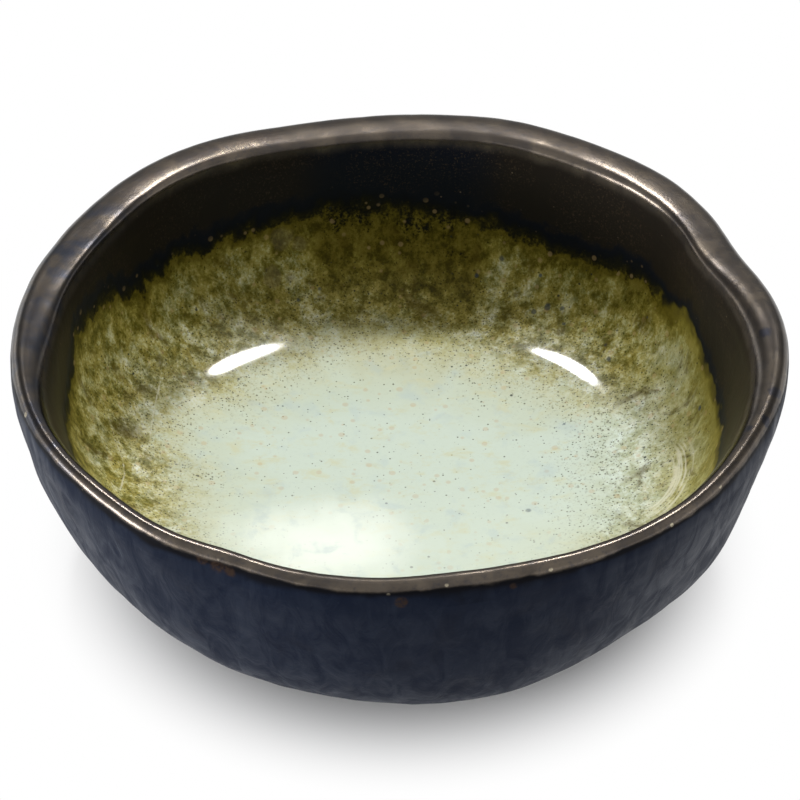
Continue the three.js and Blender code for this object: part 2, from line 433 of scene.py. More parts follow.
# %% Group: melted glaze, its specks
transition = product(tree, fade(tree, down, 6.0, 18.0), fade(tree, down, 42.0, 26.0))
stipple = speckle(tree, place, 0.5, 0.42, sums(tree, "MULTIPLY_ADD", transition, 0.85, 0.1))
lining = lay(tree, lining, stipple, 0.75, screen_colour(50, 47, 16))
grain = fade(tree, noise(tree, place, 1.7, 3.0, 0.65), 0.54, 0.7)
grain_share = sums(tree, "MULTIPLY_ADD", transition, 0.55, 0.05)
lining = lay(tree, lining, grain, grain_share, screen_colour(66, 62, 26))
at_back = fade(tree, ways[1], 0.2, 0.8)
dot_share = sums(tree, "MULTIPLY_ADD", product(tree, transition, at_back), 0.5, 0.42)
faded = fade(tree, noise(tree, place, 0.5, 2.0), 0.4, 0.6, 0.35, 0.9)
lining = lay(tree, lining, speckle(tree, place, 0.8, 0.17, dot_share), faded, screen_colour(44, 48, 44))
lining = lay(tree, lining, speckle(tree, place, 2.6, 0.12, 0.8), 0.85, screen_colour(40, 44, 40))
blue_spots = speckle(tree, place, 3.4, 0.24, sums(tree, "MULTIPLY_ADD", transition, 0.08, 0.02))
lining = lay(tree, lining, blue_spots, 0.8, screen_colour(62, 78, 92))
pool = fade(tree, down, 24.0, 36.0)
flat_place = add(tree, "Mapping", {"Vector": place, "Scale": (0.6, 1.0, 1.0)}).outputs[0]
freckles = fade(tree, noise(tree, flat_place, 0.36, 5.0, 0.7, 0.3), 0.5, 0.7, 0.0, 0.6)
lining = lay(tree, lining, freckles, pool, screen_colour(196, 194, 152))
lining = lay(tree, lining, speckle(tree, place, 1.9, 0.36, 0.5), 0.36, screen_colour(186, 158, 112))
print("melted glaze with its specks:", len(tree.nodes), "nodes")

# %% [markdown]
# Some marks belong to this one dish: a few larger blue spots, smudges near the line and pale threads at the
# left. Pale lines on a ring at the right are painted reflections of light on ridges of the glaze, and a
# near-white patch at the front is a painted pool of light. They are given in millimetres. Dark olive pools
# on the wall lie under the threads.

# %% Group: melted glaze, the marks of this dish
BLUE_SPOTS = [
    (17.4, 45.7, 20.3, 0.8), (13.2, 44.9, 17.4, 0.5), (24.9, 37.9, 16.1, 0.8), (27.4, 36.8, 16.5, 0.5),
    (27.6, 34.3, 15.2, 0.5), (22.7, 37.7, 15.1, 0.6), (34.3, 28.2, 15.5, 0.4), (34.7, 25.5, 14.7, 0.5),
]
SMUDGES = [
    (-19.7, 46.4, 24.2, 2.4), (-17.0, 47.0, 22.5, 1.8), (-21.3, 42.9, 18.8, 2.0), (-18.5, 43.5, 18.0, 1.4),
]
VEINS = [
    [(-39.1, 19.0, 15.1), (-39.6, 15.1, 14.4), (-40.0, 10.7, 13.9), (-40.1, 4.9, 13.4)],
    [(-46.7, 7.0, 18.0), (-45.3, 2.9, 16.2), (-43.9, -0.8, 15.1), (-43.4, -4.2, 14.9), (-43.7, -8.6, 15.6)],
    [(-48.2, 0.5, 20.0), (-46.6, -4.0, 18.0), (-44.6, -8.6, 16.2)],
]
VEIN_WIDTH = 0.2
lining = lay(tree, lining, marks(tree, place, small_clouds, BLUE_SPOTS), 0.7, screen_colour(48, 60, 74))
lining = lay(tree, lining, marks(tree, place, clouds, SMUDGES), 0.35, screen_colour(104, 94, 78))
pools = fade(tree, noise(tree, fall_place, 0.22, 3.0, 0.6, 0.6), 0.55, 0.68, 0.0, 0.65)
olive_wall = product(tree, fade(tree, down, 28.0, 20.0), fade(tree, shifted, 3.0, 8.0))
lining = lay(tree, lining, pools, olive_wall, screen_colour(74, 62, 12))
veins = 0.0
for vein in VEINS:
    veins = sums(tree, "MAXIMUM", veins, thread(tree, place, small_clouds, vein, VEIN_WIDTH))
lining = lay(tree, lining, veins, 0.6, screen_colour(206, 203, 176))
print("marks placed by hand:", len(BLUE_SPOTS) + len(SMUDGES) + len(VEINS))

# %% Group: melted glaze, painted reflections of ridges at the right
RIDGE_REFLECTION_CENTRE = (33.0, -2.0, 14.5)
RIDGE_REFLECTION_RADIUS = 12.2
flat = split(tree, place)
ring = measure(tree, "DISTANCE", place, RIDGE_REFLECTION_CENTRE)
along_ridges = add(tree, "CombineXYZ", {0: product(tree, ring, 1.9), 1: product(tree, flat[1], 0.1)}).outputs[0]
ridge_reflections = fade(tree, noise(tree, along_ridges, 1.0, 3.0, 0.6, 0.2), 0.46, 0.6)
off_ring = sums(tree, "ABSOLUTE", sums(tree, "SUBTRACT", ring, RIDGE_REFLECTION_RADIUS))
ridge_reflection_area = product(tree, fade(tree, off_ring, 2.2, 1.2), fade(tree, flat[0], 36.5, 39.0))
ridge_reflection_area = product(tree, ridge_reflection_area, fade(tree, flat[1], 4.0, 0.0), fade(tree, flat[1], -16.0, -12.0))
# Painted reflection: pale lines on a ring at the right stand for light reflected by ridges in the glaze.
lining = lay(tree, lining, product(tree, ridge_reflections, ridge_reflection_area), 0.7, screen_colour(214, 211, 186))
print("hairlines at a radius of", RIDGE_REFLECTION_RADIUS, "mm")

# %% Group: melted glaze, a painted pool of light at the front
LIGHT_POOL_CENTRE = (8.0, 15.5, 0.0)
LIGHT_POOL_REACH = 14.0
LIGHT_POOL_CORE = 2.0
# Painted light: the floor grows paler towards the front, as the pool of light that falls in over the back
# lip.
paled_by_painted_light = product(tree, fade(tree, flat[1], 4.0, -18.0), pool)
lining = lay(tree, lining, paled_by_painted_light, 0.35, screen_colour(214, 224, 208))
# The mask named clear below is a near-white painted pool of light at the front.
sockets = {"Vector": place, "Location": LIGHT_POOL_CENTRE, "Scale": (0.7, 1.0, 0.0)}
stretched = add(tree, "Mapping", sockets).outputs[0]
clear = sway(tree, measure(tree, "LENGTH", stretched), patches, 8.0)
clear = fade(tree, clear, LIGHT_POOL_REACH, LIGHT_POOL_CORE, 0.0, 0.85)
lining = blend(tree, clear, lining, screen_colour(242, 248, 236))
cool = fade(tree, noise(tree, place, 0.2, 4.0, 0.6, 0.3), 0.52, 0.72, 0.0, 0.35)
lining = lay(tree, lining, cool, pool, screen_colour(168, 186, 190))

# %% [markdown]
# Above the line the brown coat is nearly black, with rust in it and a little light dust. It is bluer at the
# line. At the middle of the back the whole band stays navy-black right up to the lip: that is painted shade
# under the lip. The lining is glassy on the floor and dull above it, so the group also gives the weight of a
# clear coat.

# %% Group: melted glaze, the brown band
NAVY_BLACK_LINE_AND_SHADE = (0.003, 0.005, 0.011, 1.0)
BROWN_BLACK = (0.0115, 0.009, 0.007, 1.0)
inside_band = fade(tree, shifted, -0.9, -2.8)
rust = fade(tree, noise(tree, place, 2.6, 3.0, 0.7), 0.52, 0.74)
rust = product(tree, rust, fade(tree, noise(tree, place, 0.12, 2.0), 0.36, 0.58))
# Painted shade: at the middle of the back the band stays navy-black up to the lip, as the shade under the
# lip.
deep = product(tree, inside_band, sums(tree, "SUBTRACT", 1.0, middle_back))
band = blend(tree, deep, NAVY_BLACK_LINE_AND_SHADE, BROWN_BLACK)
band = lay(tree, band, rust, inside_band, (0.045, 0.030, 0.019, 1.0))
band = lay(tree, band, speckle(tree, place, 1.7, 0.13, 0.2), 0.6, (0.16, 0.12, 0.08, 1.0))
tree.links.new(blend(tree, iron, lining, band), ends["Colour"])
tree.links.new(fade(tree, iron, 0.0, 1.0, 0.45, 0.36), ends["Roughness"])
glassy = sums(tree, "MULTIPLY_ADD", fade(tree, ways[1], 0.8, 0.95), -9.0, down)
tree.links.new(fade(tree, glassy, 15.0, 23.0), ends["Glass"])
tree.links.new(noise(tree, place, 0.5, 2.0), ends["Bumps"])
print("group ready:", melted.name, len(tree.nodes), "nodes")

# %% [markdown]
# ## The outside coat
#
# The outside was brushed with a thin blue-black slip over dented clay. It is satin, greyer where the
# brush left it thin, and the strokes lean. Where the slip rolls over the edge it is thickest and
# nearly black, with a few rust marks. The strokes are too fine to be modelled, so stretched noise
# draws them, and the same noise raises them with a bump node.

# %% Group: brushed slip
slip, _, ends = new_group(
    "Brushed slip",
    [],
    [("Colour", "Color"), ("Roughness", "Float"), ("Bumps", "Float")],
)
RUST_PATCHES = [
    (-27.5, -51.6, 40.4, 1.4), (-25.5, -52.6, 39.9, 1.5), (-23.5, -53.4, 39.6, 1.3), (0.3, -59.6, 39.0, 1.0),
    (16.0, -56.6, 39.6, 0.8),
]
THICK_SLIP = (0.002, 0.0055, 0.0165, 1.0)
THIN_SLIP = (0.0085, 0.0135, 0.0275, 1.0)
tree = slip
spot = use_group(tree, dish_place)
sockets = {"Vector": spot["Place"], "Rotation": (0.45, 0.45, 0.3), "Scale": (1.0, 1.0, 0.4)}
strokes = noise(tree, add(tree, "Mapping", sockets).outputs[0], 0.3, 5.0, 0.6, 1.0)
blotches = noise(tree, spot["Place"], 0.13, 3.0, 0.6, 0.5)
grit = noise(tree, spot["Place"], 1.6, 3.0, 0.6)
colour = blend(tree, fade(tree, strokes, 0.3, 0.72), THICK_SLIP, THIN_SLIP)
colour = blend(tree, fade(tree, blotches, 0.5, 0.7, 0.0, 0.6), colour, (0.0025, 0.005, 0.014, 1.0))
colour = blend(tree, fade(tree, grit, 0.62, 0.75, 0.0, 0.15), colour, (0.04, 0.045, 0.06, 1.0))
turned = sway(tree, spot["Up"], blotches, 0.25)
colour = blend(tree, fade(tree, turned, 0.02, 0.2), colour, (0.0008, 0.001, 0.0025, 1.0))
burnt = marks(tree, spot["Place"], blotches, RUST_PATCHES)
colour = lay(tree, colour, burnt, fade(tree, grit, 0.35, 0.6, 0.25, 0.85), (0.032, 0.018, 0.011, 1.0))
tree.links.new(colour, ends["Colour"])
tree.links.new(fade(tree, strokes, 0.3, 0.7, 0.55, 0.38), ends["Roughness"])
tree.links.new(sums(tree, "MULTIPLY_ADD", grit, 0.15, strokes), ends["Bumps"])
print("group ready:", slip.name, len(tree.nodes), "nodes")

# %% [markdown]
# ## The four materials
#
# Each material places the groups that it needs and feeds one Principled shader. What is the same all
# over a glaze, such as how strongly glass reflects, is set on the shader itself. The low index keeps
# the matt parts of a glaze from looking like plastic, and the clear coat brings the gloss back.


# %% The shader that every finish shares
CLEAR_COAT_ROUGHNESS = 0.08
CLEAR_COAT_INDEX = 1.5
DULL_INDEX = 1.14


def start_material(name):
    """A material with an empty node tree."""
    material = bpy.data.materials.new(name)
    material.use_nodes = True
    material.node_tree.nodes.clear()
    return material.node_tree


def new_finish(name, colour, roughness, bumps, bump_height, index, metal=0.0, glass=0.0):
    """Completes a material whose tree already makes what varies. The bump height is in millimetres."""
    tree = bpy.data.materials[name].node_tree
    sockets = {"Height": bumps, "Distance": bump_height / MILLIMETRES, "Strength": 1.0}
    bump = add(tree, "Bump", sockets)
    sockets = {"Base Color": colour, "Roughness": roughness, "Normal": bump.outputs[0], "IOR": index}
    sockets["Metallic"] = metal
    sockets["Coat Weight"] = glass
    sockets["Coat Roughness"] = CLEAR_COAT_ROUGHNESS
    sockets["Coat IOR"] = CLEAR_COAT_INDEX
    shader = add(tree, "BsdfPrincipled", sockets)
    add(tree, "OutputMaterial", {0: shader.outputs[0]})
    return bpy.data.materials[name]


# %% Lining glaze
LINING_BUMPS = 0.03
tree = start_material("celadon_lining")
melt = use_group(tree, melted)
lining_finish = new_finish(
    "celadon_lining",
    melt["Colour"],
    melt["Roughness"],
    melt["Bumps"],
    LINING_BUMPS,
    DULL_INDEX,
    glass=melt["Glass"],
)

# %% Outside glaze
SLIP_BUMPS = 0.14
tree = start_material("blue_black_slip")
coat = use_group(tree, slip)
slip_finish = new_finish(
    "blue_black_slip",
    coat["Colour"],
    coat["Roughness"],
    coat["Bumps"],
    SLIP_BUMPS,
    DULL_INDEX,
)

# %% [markdown]
# On top of the lip the iron glaze came out as bronze, mottled, and bluer and darker at the left. Inside
# it goes over into the dark band, and outside the slip laps over it. Glaze is thinnest on the edge,
# where pale flecks of clay show through. These borders are masks inside one material, because a border
# between two materials would follow the edges of the faces.

# %% Rim glaze, the bronze
NAVY_MARKS = [
    (56.0, -2.0, 41.9, 1.3), (56.4, -16.5, 41.9, 1.5), (54.5, -22.9, 41.5, 1.2), (51.5, -24.8, 41.4, 1.0),
]
DARK_BRONZE = (0.064, 0.054, 0.045, 1.0)
LIGHT_BRONZE = (0.104, 0.086, 0.067, 1.0)
tree = start_material("iron_rim")
spot = use_group(tree, dish_place)
melt = use_group(tree, melted)
coat = use_group(tree, slip)
patches = noise(tree, spot["Place"], 0.2, 3.0, 0.55, 0.4)
fine = noise(tree, spot["Place"], 1.6, 3.0, 0.6)
bronze = blend(tree, fade(tree, patches, 0.35, 0.65), DARK_BRONZE, LIGHT_BRONZE)
bronze = blend(tree, fade(tree, fine, 0.48, 0.75, 0.0, 0.55), bronze, (0.034, 0.035, 0.042, 1.0))
left_side = fade(tree, split(tree, spot["Streaks"])[0], -0.7, -0.95, 0.15, 0.9)
mottled = fade(tree, noise(tree, spot["Place"], 0.3, 4.0, 0.6, 0.3), 0.4, 0.68)
bronze = lay(tree, bronze, left_side, 0.5, (0.045, 0.040, 0.036, 1.0))
bronze = lay(tree, bronze, mottled, left_side, (0.032, 0.036, 0.048, 1.0))
navy = marks(tree, spot["Place"], fine, NAVY_MARKS)
bronze = lay(tree, bronze, navy, 0.7, (0.018, 0.023, 0.038, 1.0))

# %% Rim glaze, its edges
BRONZE_FROM = 39.2
BRONZE_FULL = 42.0
LIP_ROUGHNESS = 0.26
RIM_BUMPS = 0.04
lip_height = sums(tree, "MULTIPLY_ADD", patches, 1.5, spot["Height"])
on_lip = fade(tree, lip_height, BRONZE_FROM, BRONZE_FULL)
colour = blend(tree, on_lip, melt["Colour"], bronze)
turned = sway(tree, sway(tree, spot["Up"], patches, 0.3), fine, 0.08)
facing_out = fade(tree, spot["Outside"], 0.0, 0.3)
lapped = product(tree, fade(tree, turned, 0.42, 0.24), facing_out)
colour = blend(tree, lapped, colour, coat["Colour"])
on_edge = product(tree, fade(tree, turned, 0.15, 0.35), fade(tree, turned, 0.65, 0.5), facing_out)
worn = product(tree, speckle(tree, spot["Place"], 1.6, 0.34, 0.35), on_edge)
colour = lay(tree, colour, worn, 0.75, (0.34, 0.30, 0.22, 1.0))
shine = fade(tree, on_lip, 0.0, 1.0, melt["Roughness"], LIP_ROUGHNESS)
shine = fade(tree, lapped, 0.0, 1.0, shine, coat["Roughness"])
metal = product(tree, on_lip, sums(tree, "SUBTRACT", 1.0, lapped))
glass = fade(tree, lapped, 1.0, 0.0, 0.0, melt["Glass"])
rim_finish = new_finish("iron_rim", colour, shine, coat["Bumps"], RIM_BUMPS, DULL_INDEX, metal, glass)

# %% [markdown]
# The bare clay under the dish is brown, rough and sandy, with darker grains of iron. One noise clouds
# its colour and a finer one is the sand, so no picture of clay is needed.

# %% Bare clay
CLAY_ROUGHNESS = 0.85
CLAY_INDEX = 1.5
CLAY_BUMPS = 0.3
tree = start_material("fired_clay")
sockets = {0: add(tree, "TexCoord").outputs["Object"], 3: MILLIMETRES}
place = add(tree, "VectorMath", sockets, operation="SCALE").outputs[0]
clouds = noise(tree, place, 0.15, 4.0, 0.6)
sand = noise(tree, place, 2.2, 4.0, 0.7)
colour = blend(tree, fade(tree, clouds, 0.35, 0.65), screen_colour(112, 86, 66), screen_colour(82, 62, 50))
colour = lay(tree, colour, speckle(tree, place, 1.3, 0.3, 0.35), 0.7, screen_colour(52, 42, 36))
clay_finish = new_finish("fired_clay", colour, CLAY_ROUGHNESS, sand, CLAY_BUMPS, CLAY_INDEX)
print("finishes", [finish.name for finish in (lining_finish, slip_finish, rim_finish, clay_finish)])

# %% [markdown]
# ## Helpers for shaping
#
# Operators work on what is selected, and loading the model leaves its nodes selected. So each step
# first selects one object alone, and points are then selected by their place.


# %% Helpers that select
def only(piece):
    """Selects one object and nothing else, in object mode."""
    if bpy.context.mode != "OBJECT":
        bpy.ops.object.mode_set(mode="OBJECT")
    bpy.ops.object.select_all(action="DESELECT")
    piece.select_set(True)
    bpy.context.view_layer.objects.active = piece


def places(piece):
    """The points of a mesh, in millimetres, with the radius in a fourth column."""
    points = np.empty(len(piece.data.vertices) * 3)
    piece.data.vertices.foreach_get("co", points)
    points = points.reshape(-1, 3) * MILLIMETRES
    return np.column_stack([points, np.hypot(points[:, 0], points[:, 1])])


def pick(piece, chosen):
    """Goes into edit mode with only the chosen points selected."""
    only(piece)
    bpy.ops.object.mode_set(mode="EDIT")
    bpy.ops.mesh.select_mode(type="VERT")
    bpy.ops.mesh.select_all(action="DESELECT")
    bpy.ops.object.mode_set(mode="OBJECT")
    piece.data.vertices.foreach_set("select", np.asarray(chosen, bool))
    bpy.ops.object.mode_set(mode="EDIT")


# %% Helpers that copy and change a piece
WELD = 0.001


def apply_modifier(piece, kind, **settings):
    """Adds a modifier, sets it and applies it."""
    only(piece)
    made = piece.modifiers.new(kind.lower(), kind)
    for name, value in settings.items():
        setattr(made, name, value)
    bpy.ops.object.modifier_apply(modifier=made.name)


def copy_node(node_name, name):
    """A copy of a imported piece, left in edit mode with its doubled points welded."""
    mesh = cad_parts[node_name].data.copy()
    piece = bpy.data.objects.new(name, mesh)
    bpy.context.scene.collection.objects.link(piece)
    only(piece)
    bpy.ops.mesh.customdata_custom_splitnormals_clear()
    bpy.ops.object.mode_set(mode="EDIT")
    bpy.ops.mesh.select_all(action="SELECT")
    bpy.ops.mesh.remove_doubles(threshold=WELD / MILLIMETRES)
    return piece


def make_quads():
    """Turns pairs of triangles into faces with four sides, which smooth evenly, and ends edit mode."""
    bpy.ops.mesh.select_all(action="SELECT")
    bpy.ops.mesh.tris_convert_to_quads(face_threshold=1.0, shape_threshold=1.0, topology_influence=1.0)
    bpy.ops.object.mode_set(mode="OBJECT")


def give_finish(piece, finish):
    """Makes a finish the only one of a piece."""
    piece.data.materials.clear()
    piece.data.materials.append(finish)


# %% [markdown]
# ## The skin of the dish
#
# The three coats meet edge to edge, and on the real dish they melted into one another there. So the
# faces of the three are joined into one sheet, from the middle of the floor up and over the lip to
# the foot. That sheet is made smooth and uneven as a whole, and it is cut apart into the three coats
# only at the end. Dressed one by one, the coats would part at their joints. In the model each coat is
# a thin shell, and its side next to the clay is left out of the copy.

# %% Copy the face of each coat
CLAY_SIDE = 0.55
MIDDLE = 23.0


def coat_face(node_name, finish, open_middle=0.0):
    """A copy of a coat without the side that lies on the clay, and without its middle."""
    sheet = copy_node(node_name, node_name + "_sheet")
    bpy.ops.object.mode_set(mode="OBJECT")
    off_clay = []
    for point in sheet.data.vertices:
        _, nearest, _, _ = clay_node.closest_point_on_mesh(point.co)
        off_clay.append((nearest - point.co).length * MILLIMETRES)
    pick(sheet, (np.array(off_clay) < CLAY_SIDE) | (places(sheet)[:, 3] < open_middle))
    bpy.ops.mesh.delete(type="VERT")
    make_quads()
    give_finish(sheet, finish)
    print(sheet.name, len(sheet.data.vertices), "points", len(sheet.data.polygons), "faces")
    return sheet


floor_depth = places(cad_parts["inner_glaze"])
floor_depth = floor_depth[floor_depth[:, 3] < 1][:, 2].max()
lining_sheet = coat_face("inner_glaze", lining_finish, MIDDLE)
rim_sheet = coat_face("rim_glaze", rim_finish)
outer_sheet = coat_face("outer_glaze", slip_finish)

# %% [markdown]
# The floor of the lining is a fan of triangles round one point. Such a point pinches a glossy
# surface, so the middle is taken out and filled with a grid of squares, which is then moved to the
# depth that the fan had.

# %% Number the loops of points
COLUMNS = 60


def number_loops(piece, order):
    """Numbers the points of each column, which runs across the loops, from 0 in the order given."""
    where = places(piece)
    angles = np.degrees(np.arctan2(where[:, 1], where[:, 0]))
    column = np.round(angles / (360 / COLUMNS)).astype(int) % COLUMNS
    keys = order(where[:, 3], where[:, 2])
    numbers = np.zeros(len(where), int)
    for one in range(COLUMNS):
        members = np.flatnonzero(column == one)
        numbers[members[np.argsort(keys[members])]] = np.arange(len(members))
    return numbers


# %% A smooth middle for the floor
FLOOR_EDGE = 36.0
FLOOR_REACH = 38.0
pick(lining_sheet, number_loops(lining_sheet, lambda radius, height: radius + height) == 0)
bpy.ops.mesh.fill_grid(span=COLUMNS // 4)
bpy.ops.object.mode_set(mode="OBJECT")
pick(lining_sheet, places(lining_sheet)[:, 3] < FLOOR_EDGE)
bpy.ops.mesh.vertices_smooth(factor=0.5, repeat=14)
bpy.ops.object.mode_set(mode="OBJECT")
where = places(lining_sheet)
middle = where[:, 3].argmin()
drop = floor_depth - where[middle, 2]
pick(lining_sheet, np.arange(len(where)) == middle)
bpy.ops.transform.translate(
    value=(0, 0, drop / MILLIMETRES),
    use_proportional_edit=True,
    proportional_edit_falloff="SMOOTH",
    proportional_size=FLOOR_REACH / MILLIMETRES,
)
bpy.ops.object.mode_set(mode="OBJECT")
print("floor moved by", round(drop, 2), "mm to", round(places(lining_sheet)[:, 2].min(), 2))

# %% [markdown]
# Two loops of the lip lie so close to their neighbours that the smoothed lip would show a crease.
# They are taken out, and then the three sheets are joined and the gaps between them welded shut.

# %% Take out two crowded loops of the lip
LIP_CORE_RADIUS = 55
LIP_CORE_HEIGHT = 33
CROWDED_LOOPS = (6, 8)


def turn_over_lip(radius, height):
    """How far a point has turned over the lip, from the inside to the outside."""
    return -(np.degrees(np.arctan2(height - LIP_CORE_HEIGHT, radius - LIP_CORE_RADIUS)) % 360)


pick(rim_sheet, np.isin(number_loops(rim_sheet, turn_over_lip), CROWDED_LOOPS))
bpy.ops.mesh.select_mode(type="EDGE")
bpy.ops.mesh.dissolve_edges(use_verts=True)
bpy.ops.object.mode_set(mode="OBJECT")
print("lip now has", len(rim_sheet.data.vertices) // COLUMNS, "loops")

# %% Join the three sheets and close the two gaps between them
SEAM_GAP = 0.6
only(lining_sheet)
rim_sheet.select_set(True)
outer_sheet.select_set(True)
bpy.ops.object.join()
skin = lining_sheet
skin.name = "skin"
bpy.ops.object.mode_set(mode="EDIT")
bpy.ops.mesh.select_mode(type="VERT")
bpy.ops.mesh.select_all(action="DESELECT")
bpy.ops.mesh.select_non_manifold()
bpy.ops.mesh.remove_doubles(threshold=SEAM_GAP / MILLIMETRES)
bpy.ops.mesh.select_all(action="SELECT")
bpy.ops.mesh.normals_make_consistent(inside=False)
bpy.ops.object.mode_set(mode="OBJECT")
floor_face = min(skin.data.polygons, key=lambda face: face.center.xy.length)
if floor_face.normal.z < 0:
    only(skin)
    bpy.ops.object.mode_set(mode="EDIT")
    bpy.ops.mesh.select_all(action="SELECT")
    bpy.ops.mesh.flip_normals()
    bpy.ops.object.mode_set(mode="OBJECT")
print("skin", len(skin.data.vertices), "points", len(skin.data.polygons), "faces")

# %% [markdown]
# Each zone of the skin gets its own unevenness, because the lining is smoother than the outside. The
# outside starts at the foot and takes in the wall, which leans in below a certain height. What lies
# above it is the lip, and the rest is the inside.

# %% Divide the skin into zones
WALL_OUTSIDE = 56.0
LEANS_BELOW = 30.0
LEAN = 0.8
OUTSIDE_TOP = 38.5
FOOT_OUTSIDE = 33.0
FOOT_TOP = 6.5
LIP_BOTTOM = 34.0
zones = {name: skin.vertex_groups.new(name=name) for name in ("outside", "inside", "lip")}
for number, (_, _, height, radius) in enumerate(places(skin)):
    on_wall = radius > WALL_OUTSIDE - max(0, LEANS_BELOW - height) * LEAN and height < OUTSIDE_TOP
    near_foot = radius > FOOT_OUTSIDE and height < FOOT_TOP
    if on_wall or near_foot:
        zone = "outside"
    elif height > LIP_BOTTOM:
        zone = "lip"
    else:
        zone = "inside"
    zones[zone].add([number], 1.0, "REPLACE")
print("zones", list(zones))

# %% [markdown]
# Subdivision rounds the skin. At the back the inner corner of the lip is squarer than at the front, so
# it is pushed out there, where the surface leans inward by some forty degrees. A bevel could square
# it too, but the push fades out evenly towards the sides. The lip is then smoothed once more.

# %% Round the skin and shape the lip
SHOULDER = 0.6
SHOULDER_TILT = -42
SHOULDER_SPREAD = 26
SHOULDER_BOTTOM = 36
BACK_FULL = 0.4
SMOOTHED_BOTTOM = 36.5
SMOOTHED_RADIUS = 50
apply_modifier(skin, "SUBSURF", levels=3, render_levels=3)
where = places(skin)
normals = np.empty(len(where) * 3)
skin.data.vertices.foreach_get("normal", normals)
normals = normals.reshape(-1, 3)
away = np.maximum(where[:, 3], 1)
outward = (normals[:, 0] * where[:, 0] + normals[:, 1] * where[:, 1]) / away
tilt = np.degrees(np.arctan2(outward, normals[:, 2]))
corner = np.exp(-(((tilt - SHOULDER_TILT) / SHOULDER_SPREAD) ** 2))
corner = corner * np.clip(where[:, 1] / away / BACK_FULL, 0, 1) * (where[:, 2] > SHOULDER_BOTTOM)
pushed = np.flatnonzero(corner > 0.01)
shoulder = skin.vertex_groups.new(name="shoulder")
for number in pushed:
    shoulder.add([int(number)], float(corner[number]), "REPLACE")
apply_modifier(skin, "DISPLACE", vertex_group="shoulder", strength=SHOULDER / MILLIMETRES, mid_level=0.0)
pick(skin, (where[:, 2] > SMOOTHED_BOTTOM) & (where[:, 3] > SMOOTHED_RADIUS))
bpy.ops.mesh.vertices_smooth(factor=0.5, repeat=12)
bpy.ops.object.mode_set(mode="OBJECT")
print("corner pushed out at", len(pushed), "points")

# %% [markdown]
# Cloudy textures then press each zone uneven. It could be sculpted by hand, but a texture is one line
# and easy to change. The sizes and the depths are in millimetres.

# %% Press the skin uneven
DENTS = [
    ("outside", "outside dents", 10.0, 0.5),
    ("outside", "outside grain", 3.2, 0.08),
    ("lip", "lip waves", 9.0, 0.25),
    ("inside", "lining waves", 14.0, 0.04),
]
for zone, title, size, depth in DENTS:
    texture = bpy.data.textures.new(title, "CLOUDS")
    texture.noise_scale = size / MILLIMETRES
    texture.noise_depth = 2
    apply_modifier(
        skin,
        "DISPLACE",
        texture=texture,
        texture_coords="LOCAL",
        vertex_group=zone,
        strength=depth / MILLIMETRES,
        mid_level=0.5,
    )
only(skin)
bpy.ops.object.shade_smooth()
print("skin", len(skin.data.vertices), "points after smoothing")

# %% [markdown]
# The skin is cut where one glaze meets the next. Each coat then gets the thickness of its glaze on
# the side of the clay, so the faces that show stay where they are.

# %% Cut the skin into the three coats and give each its thickness
SHARP_COAT = math.radians(50)
bpy.ops.object.mode_set(mode="EDIT")
bpy.ops.mesh.separate(type="MATERIAL")
bpy.ops.object.mode_set(mode="OBJECT")
coats = {}
for piece in [other for other in bpy.context.selected_objects if other.type == "MESH"]:
    finish = piece.data.materials[piece.data.polygons[0].material_index]
    give_finish(piece, finish)
    for face in piece.data.polygons:
        face.material_index = 0
    coats[finish.name] = piece
COATS = [
    ("celadon_lining", "lining_coat", "inner_glaze", "lining_glaze", 0.5),
    ("iron_rim", "rim_coat", "rim_glaze", "iron_glaze", 0.4),
    ("blue_black_slip", "outer_coat", "outer_glaze", "slip_glaze", 0.4),
]
for finish_name, name, node_name, slot, thickness in COATS:
    piece = coats[finish_name]
    piece.name = name
    apply_modifier(piece, "SOLIDIFY", thickness=thickness / MILLIMETRES, offset=-1.0)
    bpy.ops.object.shade_smooth_by_angle(angle=SHARP_COAT)
    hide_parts(node_name)
    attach(piece, "root")
    triangles = sum(len(face.vertices) - 2 for face in piece.data.polygons)
    print(name, triangles, "triangles")

# %% [markdown]
# ## The clay
#
# The clay shows only under the dish: the foot ring, the flat inside it, and a thin line above it. The
# model's own clay could be shown as it is, but a potter wipes a foot and leaves no sharp edge, so the
# copies get rounded edges.

# %% Dress the clay and its foot
EDGE_ROUNDING = 0.3
SHARP_EDGE = math.radians(40)
SHARP_CLAY = math.radians(60)


def dress_clay(node_name, name):
    """A copy of a clay piece with its edges rounded and its surface made smooth."""
    piece = copy_node(node_name, name)
    make_quads()
    apply_modifier(
        piece,
        "BEVEL",
        width=EDGE_ROUNDING / MILLIMETRES,
        segments=2,
        limit_method="ANGLE",
        angle_limit=SHARP_EDGE,
    )
    apply_modifier(piece, "SUBSURF", levels=1, render_levels=1)
    bpy.ops.object.shade_smooth_by_angle(angle=SHARP_CLAY)
    give_finish(piece, clay_finish)
    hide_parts(node_name)
    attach(piece, "root")
    print(name, len(piece.data.vertices), "points")


dress_clay("clay_body", "clay_bowl")
dress_clay("foot_ring", "clay_foot")

# %% [markdown]
# ## The studio
#
# The dish stands on a white floor, which takes its shadow close by and is pure white beyond the dish.
# From below the floor can't be seen. Two small soft boxes behind the dish make the bright spots in
# the bowl. The bowl is hollow, so each box shows at the other side. A low box at the left lights the
# lip there. Glowing panels could do the same, but lamps leave less noise in the picture.

